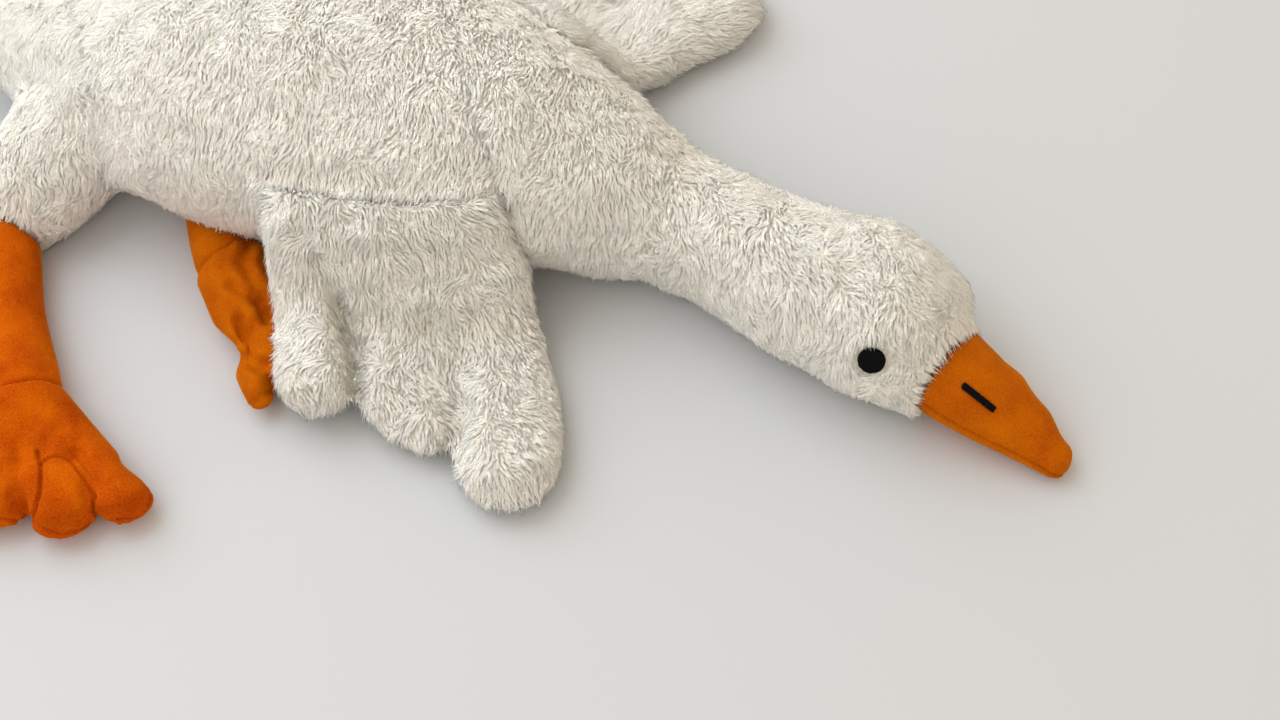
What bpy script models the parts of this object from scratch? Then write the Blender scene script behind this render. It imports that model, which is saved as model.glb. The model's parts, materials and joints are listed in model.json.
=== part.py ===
"""A floppy plush goose that lies on its belly with its wings spread and its neck stretched out.

White pile plush makes the body, the neck with the head, the thighs and the wings. Orange velour makes
the bill, the legs and the webbed feet. The eyes and the nostrils are embroidered in black.
Lengths are in metres, +X runs along the body towards the bill, +Z is up, and the goose lies on Z = 0.
While it is built, X = 0 is the neck seam and Y = 0 is the middle of the body.
"""

import math

import bmesh
import bpy
import numpy as np
from mathutils import Matrix, Vector
from mathutils.bvhtree import BVHTree

# Body: one stuffed skin from the tail to the neck seam.
BODY_LENGTH = 0.325
BODY_WIDTH = 0.134
BODY_HEIGHT = 0.088
TAIL_WIDTH = 0.034
TAIL_HEIGHT = 0.018
TAIL_LIFT = 0.018
BELLY_FLAT = 0.007
BODY_BEND = 0.090

# Neck and head: one stuffed skin from the neck seam to the bill. The goose looks to its right.
NECK_WIDTH = 0.055
NECK_HEIGHT = 0.052
HEAD_WIDTH = 0.067
HEAD_HEIGHT = 0.060
NECK_LENGTH = 0.062
HEAD_LENGTH = 0.062
NECK_TURN = math.radians(-15.2)
HEAD_TURN = math.radians(-23)
HEAD_ROLL = math.radians(30)
NECK_FLAT = 0.004

# Bill: an upper and a lower velour panel, sewn along the sides.
BILL_LENGTH = 0.059
BILL_WIDTH = 0.043
BILL_HEIGHT = 0.036
BILL_TIP_WIDTH = 0.017
BILL_TIP_HEIGHT = 0.015
BILL_SEAM = 0.40

# Embroidery.
EYE_WIDTH = 0.0108
EYE_THICKNESS = 0.0018
EYE_ANGLE = math.radians(-1.5)
EYE_BEHIND_BILL = 0.0205
NOSTRIL_LENGTH = 0.016
NOSTRIL_WIDTH = 0.0028
NOSTRIL_THICKNESS = 0.0014
NOSTRIL_ANGLE = math.radians(30)
NOSTRIL_FROM_HEAD = 0.0105

# Wings: two plush panels each, with three feather lobes and two quilted lines. A lobe is
# (share of the width where it ends, how far it reaches, how round its tip is, how much it leans).
WING_ROOT = 0.0915
WING_ROOT_FROM_NECK = 0.060
WING_ROOT_HEIGHT = 0.060
WING_THICKNESS = 0.017
WING_DROP_ANGLE = math.radians(62)
WING_BEND_RADIUS = 0.024
WING_LOBES = ((0.29, 0.097, 0.014, 0), (0.63, 0.106, 0.014, 0.010), (1.0, 0.136, 0.026, 0))
WING_FAN = math.radians(9)
RIGHT_WING_BOW = 0.009
LEFT_WING_BOW = 0.002
WING_ROLL = 0.35
WING_QUILT_DEPTH = 0.5
RIGHT_WING_SWEEP = math.radians(20)
LEFT_WING_SWEEP = math.radians(33)

# Legs: a plush thigh, a velour leg and a velour foot with three webbed toes.
THIGH_WIDTH = 0.056
THIGH_HEIGHT = 0.050
LEG_WIDTH = 0.028
LEG_HEIGHT = 0.023
LEG_LENGTH = 0.0805
FOOT_LENGTH = 0.0625
FOOT_THICKNESS = 0.019
TOES = ((0.48, 0.88), (0.76, 1.0), (1.0, 1.04))
TOE_ROUND = 0.009
TOE_STITCH_DEPTH = 0.42
TOE_STITCH_WIDTH = 0.0026
FOOT_SPREAD = math.radians(31)
LEG_TURN = math.radians(-59)
FOOT_TURN = math.radians(-63)
LEG_BOW = 0.002
LEG_INSERT = 0.006
HIP = 0.24
THIGH_FORM = ((0, 0, 1, 1), (0.5, 0.35, 0.96, 0.90), (0.85, 0.95, 0.80, 0.72))
THIGH_ROOT = 0.45
KNEE_BACK = 0.018
KNEE_OUT = 0.034
TUCKED_ANKLE = (-0.170, -0.071, 0)
TUCKED_LEG_TURN = math.radians(-62)
TUCKED_LEG_HEIGHT = 0.020
TUCKED_FOOT_TURN = math.radians(-39.5)
TUCKED_FOOT_SPREAD = math.radians(10)
TUCKED_FOOT_FOLDS = 0.10

# Sewn pieces stay this far apart, so that each is a solid of its own.
SEAM_GAP = 0.0003

WHITE_PLUSH = (0.90, 0.88, 0.82)
ORANGE_VELOUR = (0.86, 0.33, 0.02)
BLACK_THREAD = (0.02, 0.02, 0.022)

UP = Vector((0, 0, 1))


def clear_scene():
    for old in list(bpy.data.objects):
        bpy.data.objects.remove(old)


def fabric(name, colour, roughness):
    """A plain fabric material: not shiny and not metallic."""
    material = bpy.data.materials.new(name)
    material.use_nodes = True
    shader = material.node_tree.nodes["Principled BSDF"]
    shader.inputs["Base Color"].default_value = (*colour, 1)
    shader.inputs["Roughness"].default_value = roughness
    shader.inputs["Metallic"].default_value = 0
    material.diffuse_color = (*colour, 1)
    return material


def smooth(stops, at):
    """The value at a position on the smooth curve through (position, value) stops."""
    places = [stop[0] for stop in stops]
    values = [np.array(stop[1], float) for stop in stops]
    slopes = []
    for i in range(len(stops)):
        before = max(i - 1, 0)
        after = min(i + 1, len(stops) - 1)
        slopes.append((values[after] - values[before]) / (places[after] - places[before]))
    at = min(max(at, places[0]), places[-1])
    k = min(max(i for i, place in enumerate(places) if place <= at), len(stops) - 2)
    span = places[k + 1] - places[k]
    t = (at - places[k]) / span
    value = (2 * t**3 - 3 * t**2 + 1) * values[k] + (3 * t**2 - 2 * t**3) * values[k + 1]
    value = value + ((t**3 - 2 * t**2 + t) * slopes[k] + (t**3 - t**2) * slopes[k + 1]) * span
    return value


def even(count):
    """Shares from 0 to 1, evenly spaced."""
    return [i / count for i in range(count + 1)]


def towards_ends(count):
    """Shares from 0 to 1, closer together near both ends, where a padded edge is round."""
    return [(1 - math.cos(math.pi * i / count)) / 2 for i in range(count + 1)]


def ring(bm, centre, heading, half_width, half_height, sides, roll):
    """An elliptical ring across the heading, rolled about it. Returns its edges."""
    side, up = rolled_axes(heading, roll)
    frame = Matrix.Identity(4)
    for column, axis in enumerate((side * half_width, up * half_height, heading)):
        frame.col[column].xyz = axis
    frame.translation = centre
    made = bmesh.ops.create_circle(bm, segments=sides, radius=1, matrix=frame)["verts"]
    return list({edge for vert in made for edge in vert.link_edges})


def rolled_axes(heading, roll):
    """The sideways and the upward direction of a piece that is rolled about its heading."""
    turn = Matrix.Rotation(-roll, 3, heading)
    side = UP.cross(heading).normalized()
    return turn @ side, turn @ UP


def face_outwards(bm):
    bmesh.ops.recalc_face_normals(bm, faces=bm.faces)
    if bm.calc_volume(signed=True) < 0:
        bmesh.ops.reverse_faces(bm, faces=bm.faces)


def loft(sections, sides, roll=0):
    """A closed skin through rings, each given as (centre, heading, half width, half height)."""
    bm = bmesh.new()
    rings = [ring(bm, *section, sides, roll) for section in sections]
    for first, second in zip(rings, rings[1:]):
        bmesh.ops.bridge_loops(bm, edges=first + second)
    for end in (rings[0], rings[-1]):
        bmesh.ops.edgeloop_fill(bm, edges=end)
    face_outwards(bm)
    return bm


def slice_off(bm, point, outwards):
    """Cuts away what lies beyond a plane and closes the cut with a flat face."""
    everything = bm.verts[:] + bm.edges[:] + bm.faces[:]
    bmesh.ops.bisect_plane(
        bm, geom=everything, dist=1e-7, plane_co=point, plane_no=outwards, clear_outer=True
    )
    rim = [edge for edge in bm.edges if edge.is_boundary]
    bmesh.ops.holes_fill(bm, edges=rim)
    face_outwards(bm)


def set_down(bm):
    """Flattens the underside on the surface that the goose lies on."""
    slice_off(bm, Vector((0, 0, 0)), -UP)


def make_object(name, bm, material, goose):
    mesh = bpy.data.meshes.new(name)
    bm.to_mesh(mesh)
    bm.free()
    mesh.shade_smooth()
    mesh.set_sharp_from_angle(angle=math.radians(50))
    made = bpy.data.objects.new(name, mesh)
    bpy.context.scene.collection.objects.link(made)
    made.parent = goose
    made.data.materials.append(material)
    return made


def cutter_round(piece, clearance):
    """A hidden copy of a piece, fuller all over by the clearance, to cut its neighbours with."""
    bm = bmesh.new()
    bm.from_mesh(piece.data)
    bm.normal_update()
    for vert in bm.verts:
        vert.co += vert.normal * clearance * vert.calc_shell_factor()
    cutter = make_object("cutter_" + piece.name, bm, piece.data.materials[0], piece.parent)
    cutter.hide_render = True
    cutter.display_type = "WIRE"
    return cutter


def cut_with(piece, cutter):
    """Takes the cutter's shape out of the piece."""
    cut = piece.modifiers.new("cut_" + cutter.name, "BOOLEAN")
    cut.operation = "DIFFERENCE"
    cut.solver = "EXACT"
    cut.object = cutter


def turn_at(along):
    """The heading of the goose's middle line, on plan, that far in front of the neck seam."""
    whole = NECK_LENGTH + HEAD_LENGTH
    stops = (
        (-BODY_BEND, 0),
        (0, NECK_TURN * 0.72),
        (NECK_LENGTH * 0.5, NECK_TURN),
        (whole - HEAD_LENGTH * 0.75, NECK_TURN),
        (whole, HEAD_TURN),
    )
    return float(smooth(stops, along))


def spine(along):
    """The place of the middle line, on plan, and its heading, that far in front of the neck seam."""
    if along < -BODY_BEND:
        return Vector((along, 0, 0)), Vector((1, 0, 0))
    place = Vector((-BODY_BEND, 0, 0))
    steps = 40
    step = (along + BODY_BEND) / steps
    for i in range(steps):
        turn = turn_at(-BODY_BEND + step * (i + 0.5))
        place += Vector((math.cos(turn), math.sin(turn), 0)) * step
    turn = turn_at(along)
    return place, Vector((math.cos(turn), math.sin(turn), 0))


def body_section(share):
    """One ring of the body. A share of 0 is the tail's end and 1 is the neck seam."""
    belly = BODY_WIDTH / 2
    half_width = smooth(
        (
            (0.0, TAIL_WIDTH / 2 * 0.25),
            (0.015, TAIL_WIDTH / 2 * 0.72),
            (0.05, TAIL_WIDTH / 2),
            (0.14, belly * 0.40),
            (0.24, belly * 0.72),
            (0.36, belly * 0.93),
            (0.50, belly),
            (0.68, belly * 0.94),
            (0.84, belly * 0.70),
            (1.0, NECK_WIDTH / 2),
        ),
        share,
    )
    top = smooth(
        (
            (0.0, TAIL_LIFT + TAIL_HEIGHT * 0.65),
            (0.015, TAIL_LIFT + TAIL_HEIGHT * 0.86),
            (0.05, TAIL_LIFT + TAIL_HEIGHT),
            (0.20, BODY_HEIGHT * 0.72),
            (0.36, BODY_HEIGHT * 0.95),
            (0.52, BODY_HEIGHT),
            (0.76, BODY_HEIGHT * 0.92),
            (1.0, NECK_HEIGHT),
        ),
        share,
    )
    bottom = smooth(
        (
            (0.0, TAIL_LIFT + TAIL_HEIGHT * 0.35),
            (0.015, TAIL_LIFT + TAIL_HEIGHT * 0.12),
            (0.05, TAIL_LIFT),
            (0.19, -BELLY_FLAT * 0.4),
            (0.45, -BELLY_FLAT),
            (1.0, -NECK_FLAT),
        ),
        share,
    )
    place, heading = spine((share - 1) * BODY_LENGTH)
    place.z = float(top + bottom) / 2
    return place, heading, float(half_width), float(top - bottom) / 2


def body_skin(share, height):
    """How far out the body's side is at a share of its length and a height."""
    centre, _, half_width, half_height = body_section(share)
    rise = min(max((height - centre.z) / half_height, -0.98), 0.98)
    return half_width * math.sqrt(1 - rise**2)


def make_body(plush, goose):
    shares = [0.0, 0.006, 0.018] + [0.04 + 0.96 * share for share in even(23)]
    bm = loft([body_section(share) for share in shares], 32)
    set_down(bm)
    return make_object("body", bm, plush, goose)


def neck_section(length):
    """One ring of the neck and head, that far from the neck seam."""
    whole = NECK_LENGTH + HEAD_LENGTH
    width = smooth(
        (
            (0, NECK_WIDTH),
            (NECK_LENGTH * 0.35, NECK_WIDTH * 0.99),
            (NECK_LENGTH * 0.8, HEAD_WIDTH * 0.93),
            (whole - HEAD_LENGTH * 0.7, HEAD_WIDTH),
            (whole - HEAD_LENGTH * 0.38, HEAD_WIDTH * 0.97),
            (whole - HEAD_LENGTH * 0.14, HEAD_WIDTH * 0.84),
            (whole, BILL_WIDTH * 1.02),
        ),
        length,
    )
    top = smooth(
        (
            (0, NECK_HEIGHT),
            (NECK_LENGTH * 0.45, NECK_HEIGHT),
            (NECK_LENGTH, (NECK_HEIGHT + HEAD_HEIGHT) / 2),
            (whole - HEAD_LENGTH * 0.45, HEAD_HEIGHT),
            (whole - HEAD_LENGTH * 0.16, HEAD_HEIGHT * 0.85),
            (whole, BILL_HEIGHT),
        ),
        length,
    )
    place, heading = spine(length + SEAM_GAP)
    half_height = float(top + NECK_FLAT) / 2
    place.z = float(top) - half_height
    return place, heading, float(width) / 2, half_height


def make_head_and_neck(plush, goose):
    whole = NECK_LENGTH + HEAD_LENGTH
    shares = [0.8 * share for share in even(14)] + [0.86, 0.91, 0.95, 0.98, 1.0]
    bm = loft([neck_section(whole * share) for share in shares], 28)
    set_down(bm)
    return make_object("head_and_neck", bm, plush, goose)


def bill_section(share):
    """One ring of the bill. A share of 0 is at the head and 1 is the tip."""
    base, heading = spine(NECK_LENGTH + HEAD_LENGTH + SEAM_GAP)
    tip = 0.88
    width = smooth(
        (
            (0, BILL_WIDTH),
            (0.30, BILL_WIDTH * 0.88),
            (0.70, BILL_TIP_WIDTH * 1.32),
            (tip, BILL_TIP_WIDTH),
        ),
        share,
    )
    height = smooth(
        (
            (0, BILL_HEIGHT),
            (0.35, BILL_HEIGHT * 0.82),
            (0.72, BILL_TIP_HEIGHT * 1.25),
            (tip, BILL_TIP_HEIGHT),
        ),
        share,
    )
    rounding = 1.0
    if share > tip:
        rounding = math.sqrt(max(1 - ((share - tip) / (1 - tip)) ** 2, 0.03))
    place = base + heading * (share * BILL_LENGTH + SEAM_GAP)
    place.z = float(height) / 2 - NECK_FLAT * 0.4
    return place, heading, float(width) / 2 * rounding, float(height) / 2 * rounding


def make_bill(velour, goose):
    """The upper and the lower panel, split along the side seam."""
    shares = [0.88 * s for s in even(12)] + [0.92, 0.955, 0.985, 1.0]
    upper = loft([bill_section(share) for share in shares], 24, HEAD_ROLL)
    set_down(upper)
    lower = upper.copy()
    ends = [bill_section(share) for share in (0, 0.88)]
    side, up = rolled_axes(ends[0][1], HEAD_ROLL)
    seam = [centre - up * half_height * BILL_SEAM for centre, _, _, half_height in ends]
    across = (seam[1] - seam[0]).cross(side).normalized()
    slice_off(upper, seam[0] + across * SEAM_GAP / 2, -across)
    slice_off(lower, seam[0] - across * SEAM_GAP / 2, across)
    return [
        make_object("bill_upper", upper, velour, goose),
        make_object("bill_lower", lower, velour, goose),
    ]


def embroider(name, outline, piece, section, angle, thickness, thread, goose):
    """A raised patch of stitches that is let halfway into the skin of a piece.

    It faces away from the middle of a ring of the piece, at an angle above the piece's side.
    """
    centre, heading, half_width, _ = section
    side, up = rolled_axes(heading, HEAD_ROLL)
    outwards = side * math.cos(angle) + up * math.sin(angle)
    bm = bmesh.new()
    bm.from_mesh(piece.data)
    place, normal, _, _ = BVHTree.FromBMesh(bm).ray_cast(centre + outwards * half_width * 2, -outwards)
    bm.free()
    over = normal.cross(heading).normalized()
    frame = Matrix.Identity(4)
    for column, axis in enumerate((over.cross(normal), over, normal)):
        frame.col[column].xyz = axis
    frame.translation = place - normal * thickness / 2
    bm = bmesh.new()
    face = bm.faces.new([bm.verts.new(frame @ Vector((x, y, 0))) for x, y in outline])
    top = bmesh.ops.extrude_face_region(bm, geom=[face])
    lifted = [item for item in top["geom"] if isinstance(item, bmesh.types.BMVert)]
    bmesh.ops.translate(bm, verts=lifted, vec=normal * thickness)
    face_outwards(bm)
    cut_with(piece, cutter_round(make_object(name, bm, thread, goose), SEAM_GAP))


def round_outline(width, corners):
    turns = [2 * math.pi * i / corners for i in range(corners)]
    return [(width / 2 * math.cos(turn), width / 2 * math.sin(turn)) for turn in turns]


def bar_outline(length, width):
    corners = ((-1, -1), (1, -1), (1, 1), (-1, 1))
    return [(x * length / 2, y * width / 2) for x, y in corners]


def make_face(head, bill_upper, thread, goose):
    """An eye on each side of the head and a nostril on each side of the bill."""
    eye_ring = neck_section(NECK_LENGTH + HEAD_LENGTH - EYE_BEHIND_BILL)
    nostril_ring = bill_section((NOSTRIL_FROM_HEAD + NOSTRIL_LENGTH / 2) / BILL_LENGTH)
    eye = round_outline(EYE_WIDTH, 24)
    nostril = bar_outline(NOSTRIL_LENGTH, NOSTRIL_WIDTH)
    for side, eye_angle, nostril_angle in (
        ("right", math.pi - EYE_ANGLE, math.pi - NOSTRIL_ANGLE),
        ("left", EYE_ANGLE, NOSTRIL_ANGLE),
    ):
        embroider(side + "_eye", eye, head, eye_ring, eye_angle, EYE_THICKNESS, thread, goose)
        embroider(
            side + "_nostril", nostril, bill_upper, nostril_ring, nostril_angle,
            NOSTRIL_THICKNESS, thread, goose,
        )


def edge_roundness(distance, reach):
    """0 on the sewn edge, rising like a quarter circle to 1 at the reach."""
    share = min(max(distance / reach, 0), 1)
    return math.sqrt(1 - (1 - share) ** 2)


def valley(offset, width):
    return math.exp(-((offset / width) ** 2))


def ramp(low, high, value):
    share = min(max((value - low) / (high - low), 0), 1)
    return share * share * (3 - 2 * share)


def padded_panel(across, along, sheet, lobes, puff):
    """Two panels sewn together round their edge and padded.

    sheet(a, travel) is a point of the surface between the two panels, puff(a, b) is how far each of
    them stands off it. a is the share of the width, b the share of the way from the root to the tips.
    """
    bm = bmesh.new()
    skins = [[], []]
    step = 1e-3
    for b in along:
        for a in across:
            plain = lobes[0][1] + (lobes[-1][1] - lobes[0][1]) * a
            travel = b * plain + ramp(0.5, 1, b) * (lobed_reach(a, lobes) - plain)
            over = sheet(a + step, travel) - sheet(a - step, travel)
            out = sheet(a, travel + step) - sheet(a, travel - step)
            normal = over.cross(out).normalized()
            normal = normal if normal.z > 0 else -normal
            up, down = puff(a, b)
            skins[0].append(bm.verts.new(sheet(a, travel) + normal * up))
            skins[1].append(bm.verts.new(sheet(a, travel) - normal * down))
    columns = len(across)
    for skin in skins:
        for k in range(len(skin) - columns):
            if (k + 1) % columns:
                bm.faces.new((skin[k], skin[k + 1], skin[k + columns + 1], skin[k + columns]))
    for k in range(columns - 1):
        bm.faces.new((skins[0][k + 1], skins[0][k], skins[1][k], skins[1][k + 1]))
    bmesh.ops.remove_doubles(bm, verts=bm.verts, dist=2e-5)
    bmesh.ops.dissolve_degenerate(bm, edges=bm.edges, dist=2e-5)
    face_outwards(bm)
    return bm


def lobed_reach(a, lobes):
    """How far the outline reaches at a share of the width, with a round lobe for each entry."""
    start = 0.0
    for end, reach, rounding, lean in lobes:
        if a <= end + 1e-9 or end == lobes[-1][0]:
            half = (end - start) / 2
            offset = min(max((a - start - half) / half, -1), 1)
            return reach + lean * offset - rounding * (1 - math.sqrt(1 - offset**2))
        start = end


def across_lobes(lobes, each):
    """Shares across a lobed panel, closer together towards the ends of every lobe."""
    shares = [0.0]
    start = 0.0
    for end, *_ in lobes:
        shares += [start + (end - start) * share for share in towards_ends(each)[1:]]
        start = end
    return shares


def wing_root(a, side):
    """A point of the seam that joins a wing to the body, from its rear end to its front end."""
    along = -WING_ROOT_FROM_NECK - WING_ROOT * (1 - a)
    share = 1 + along / BODY_LENGTH
    centre, heading, _, half_height = body_section(share)
    height = min(WING_ROOT_HEIGHT, centre.z + half_height * 0.62)
    place = centre + UP.cross(heading) * side * body_skin(share, height)
    place.z = height
    return place


def make_wing(name, side, sweep, front_bow, rear_lift, plush, goose):
    """One wing, from the seam down the body's side and out over the ground."""

    def sheet(a, travel):
        root = wing_root(a, side)
        far = ramp(0.75, 1, travel / WING_LOBES[0][1])
        ground = WING_THICKNESS / 2 + rear_lift * (1 - ramp(0.1, 0.5, a)) * (1 - 0.6 * far)
        drop = root.z - ground
        bend = WING_BEND_RADIUS * WING_DROP_ANGLE
        bend_drop = WING_BEND_RADIUS * (1 - math.cos(WING_DROP_ANGLE))
        slope = max(drop - bend_drop, 0) / math.sin(WING_DROP_ANGLE)
        down = min(travel, slope)
        out = down * math.cos(WING_DROP_ANGLE)
        fall = down * math.sin(WING_DROP_ANGLE)
        if travel > slope:
            left = WING_DROP_ANGLE * (1 - min((travel - slope) / bend, 1))
            out += WING_BEND_RADIUS * (math.sin(WING_DROP_ANGLE) - math.sin(left))
            fall += WING_BEND_RADIUS * (math.cos(left) - math.cos(WING_DROP_ANGLE))
            out += max(travel - slope - bend, 0)
        turn = sweep + WING_FAN * a
        share = min(max(travel / WING_LOBES[-1][1], 0), 1)
        bow = front_bow * max(a, 0) ** 2 * math.sin(math.pi * share)
        return Vector((
            root.x + bow + math.sin(turn) * out,
            root.y + side * math.cos(turn) * out,
            root.z - fall,
        ))

    def puff(a, b):
        from_edge = min(a * WING_ROOT, (1 - a) * WING_ROOT, (1 - b) * lobed_reach(a, WING_LOBES))
        full = edge_roundness(from_edge, WING_THICKNESS * 0.8)
        full *= 0.35 + 0.65 * edge_roundness(b * WING_LOBES[0][1], WING_THICKNESS)
        full *= 1 + WING_ROLL * (1 - ramp(0.18, 0.36, a)) * ramp(0.2, 0.5, b)
        for (quilt, *_), start in zip(WING_LOBES[:-1], (0.25, 0.5)):
            stitched = ramp(start, start + 0.3, b)
            full *= 1 - WING_QUILT_DEPTH * stitched * valley((a - quilt) * WING_ROOT, 0.006)
        return full * WING_THICKNESS / 2, full * WING_THICKNESS / 2

    bm = padded_panel(across_lobes(WING_LOBES, 8), even(14), sheet, WING_LOBES, puff)
    set_down(bm)
    return make_object(name, bm, plush, goose)


def make_tube(name, stops, sides, rings, material, goose):
    """A stuffed tube along (share, x, y, half width, top height) stops, lying on the ground."""
    path = [(stop[0], stop[1:]) for stop in stops]
    first, last = stops[0][0], stops[-1][0]
    sections = []
    for step in even(rings):
        share = first + (last - first) * step
        x, y, half_width, top = smooth(path, share)
        ahead = smooth(path, share + 0.01) - smooth(path, share - 0.01)
        heading = Vector((ahead[0], ahead[1], 0)).normalized()
        half_height = float(top + NECK_FLAT) / 2
        sections.append((Vector((x, y, float(top) - half_height)), heading, float(half_width), half_height))
    bm = loft(sections, sides)
    set_down(bm)
    return make_object(name, bm, material, goose)


def toe_lobes(side):
    """The three toes as lobes of a foot's panels, of the right foot (-1) or of the left one (1)."""
    if side < 0:
        return [(end, FOOT_LENGTH * reach, TOE_ROUND, 0) for end, reach in TOES]
    starts = [0.0] + [end for end, _ in TOES[:-1]]
    return [(1 - start, FOOT_LENGTH * toe[1], TOE_ROUND, 0) for start, toe in zip(starts, TOES)][::-1]


def make_foot(name, side, ankle, turn, spread, folds, velour, goose):
    """A webbed foot: two panels with three toes, and a curved stitched line between each two toes."""
    heading = Vector((math.cos(turn), math.sin(turn), 0))
    sideways = UP.cross(heading)
    lobes = toe_lobes(side)

    def thickness(travel):
        return LEG_HEIGHT * 1.1 + (FOOT_THICKNESS - LEG_HEIGHT * 1.1) * ramp(0, 0.4, travel / FOOT_LENGTH)

    def sheet(a, travel):
        angle = (a - 0.5) * 2 * spread
        along = math.cos(angle) * travel + SEAM_GAP
        over = (a - 0.5) * LEG_WIDTH * 1.1 + math.sin(angle) * travel
        place = ankle + heading * along + sideways * over
        place.z = thickness(travel) * 0.42
        return place

    def puff(a, b):
        reach = lobed_reach(a, lobes)
        wide = LEG_WIDTH + 2 * math.sin(spread) * b * reach
        across = edge_roundness(min(a, 1 - a) * wide, LEG_WIDTH * 0.45)
        tip = edge_roundness((1 - b) * reach, FOOT_THICKNESS * 0.6)
        full = min(across, tip)
        for (stitch, *_), bow in zip(lobes[:-1], (-0.05, 0.05)):
            line = stitch + bow * math.sin(math.pi * ramp(0.3, 1, b))
            stitched = ramp(0.34, 0.5, b)
            full *= 1 - TOE_STITCH_DEPTH * stitched * valley((a - line) * wide, TOE_STITCH_WIDTH)
        fold = 1 + folds * math.sin(b * 15 + a * 7) * ramp(0, 0.2, b)
        thick = thickness(b * reach)
        return full * fold * thick * 0.58, full * thick * 0.44

    bm = padded_panel(across_lobes(lobes, 7), even(12), sheet, lobes, puff)
    set_down(bm)
    return make_object(name, bm, velour, goose)


def make_leg(name, knee, turn, middle_height, velour, goose):
    """A slightly bowed velour leg whose ends reach a little into the thigh and the foot."""
    heading = Vector((math.cos(turn), math.sin(turn), 0))
    bow = -UP.cross(heading) * LEG_BOW
    insert = LEG_INSERT / LEG_LENGTH
    stops = []
    for share, fullness in ((-insert, 0.72), (0, 1), (0.5, 0.98), (1, 1), (1 + insert, 0.72)):
        place = knee + heading * LEG_LENGTH * share + bow * max(math.sin(math.pi * share), 0)
        height = LEG_HEIGHT if share > 0.6 else middle_height
        stops.append((share, place.x, place.y, LEG_WIDTH / 2 * fullness, height * fullness))
    return make_tube(name, stops, 18, 12, velour, goose)


def make_legs(plush, velour, goose):
    """The right leg lies out to the side. The left one is tucked under the belly."""
    hip = body_section(HIP)[0].x
    side = body_skin(HIP, THIGH_HEIGHT / 2)
    thigh = THIGH_WIDTH / 2
    knee_width = LEG_WIDTH / 2 * 1.12

    root = Vector((hip, -side * THIGH_ROOT, 0))
    knee = Vector((hip - KNEE_BACK, -side - KNEE_OUT, 0))
    ankle = knee + Vector((math.cos(LEG_TURN), math.sin(LEG_TURN), 0)) * LEG_LENGTH
    stops = []
    for share, bent, wide, high in THIGH_FORM:
        place = (root.x + (knee.x - root.x) * bent, root.y + (knee.y - root.y) * share)
        stops.append((share, *place, thigh * wide, THIGH_HEIGHT * high))
    stops.append((1, knee.x, knee.y, knee_width, LEG_HEIGHT * 1.1))
    right = [
        make_tube("right_thigh", stops, 20, 8, plush, goose),
        make_leg("right_leg", knee, LEG_TURN, LEG_HEIGHT, velour, goose),
        make_foot("right_foot", -1, ankle, FOOT_TURN, FOOT_SPREAD, 0, velour, goose),
    ]

    ankle = Vector(TUCKED_ANKLE)
    turn, spread = TUCKED_FOOT_TURN, TUCKED_FOOT_SPREAD
    knee = ankle - Vector((math.cos(TUCKED_LEG_TURN), math.sin(TUCKED_LEG_TURN), 0)) * LEG_LENGTH
    stops = (
        (0, hip, side * 0.74, thigh * 0.9, THIGH_HEIGHT * 0.72),
        (0.5, (hip + knee.x) / 2, (side + knee.y) / 2, thigh * 0.84, THIGH_HEIGHT * 0.6),
        (1, knee.x, knee.y, knee_width, TUCKED_LEG_HEIGHT * 1.1),
    )
    left = [
        make_tube("left_thigh", stops, 20, 7, plush, goose),
        make_leg("left_leg", knee, TUCKED_LEG_TURN, TUCKED_LEG_HEIGHT, velour, goose),
        make_foot("left_foot", 1, ankle, turn, spread, TUCKED_FOOT_FOLDS, velour, goose),
    ]
    return right, left


def centre_on_origin(goose):
    """Moves the goose so that the middle of its box, on the ground, is the origin."""
    bpy.context.view_layer.update()
    graph = bpy.context.evaluated_depsgraph_get()
    corners = []
    for piece in goose.children:
        if not piece.hide_render:
            shown = piece.evaluated_get(graph)
            corners += [shown.matrix_world @ Vector(corner) for corner in shown.bound_box]
    low = [min(corner[k] for corner in corners) for k in range(2)]
    high = [max(corner[k] for corner in corners) for k in range(2)]
    goose.location = (-(low[0] + high[0]) / 2, -(low[1] + high[1]) / 2, 0)


def main():
    clear_scene()
    plush = fabric("white_plush", WHITE_PLUSH, 0.95)
    velour = fabric("orange_velour", ORANGE_VELOUR, 0.85)
    thread = fabric("black_thread", BLACK_THREAD, 0.6)
    goose = bpy.data.objects.new("goose", None)
    bpy.context.scene.collection.objects.link(goose)

    body = make_body(plush, goose)
    head = make_head_and_neck(plush, goose)
    bill_upper, _ = make_bill(velour, goose)
    make_face(head, bill_upper, thread, goose)
    over_foot = TUCKED_LEG_HEIGHT * 0.45
    right_wing = make_wing("right_wing", -1, RIGHT_WING_SWEEP, RIGHT_WING_BOW, over_foot, plush, goose)
    left_wing = make_wing("left_wing", 1, LEFT_WING_SWEEP, LEFT_WING_BOW, 0, plush, goose)
    right_leg, left_leg = make_legs(plush, velour, goose)

    around_body = cutter_round(body, SEAM_GAP)
    for piece in (right_wing, left_wing, right_leg[0]):
        cut_with(piece, around_body)
    for thigh, leg, foot in (right_leg, left_leg):
        cut_with(leg, cutter_round(thigh, SEAM_GAP))
        cut_with(leg, cutter_round(foot, SEAM_GAP))
    for piece in left_leg:
        cut_with(body, cutter_round(piece, SEAM_GAP))
    cut_with(left_leg[2], cutter_round(right_wing, SEAM_GAP))
    centre_on_origin(goose)


main()
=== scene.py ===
# %% [markdown]
# # A stuffed goose of white pile plush
#
# The toy lies on its belly on a plain surface: a white body with a long neck, two wings with feather
# lobes, an orange bill, and two floppy legs with webbed feet. Every skin starts as a copy of the packed
# solid, so it has the solid's place and size. The pile is made of real locks of hair, because a bump
# map alone leaves the outline of a plush toy smooth.

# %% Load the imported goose
import json
import math

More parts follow.
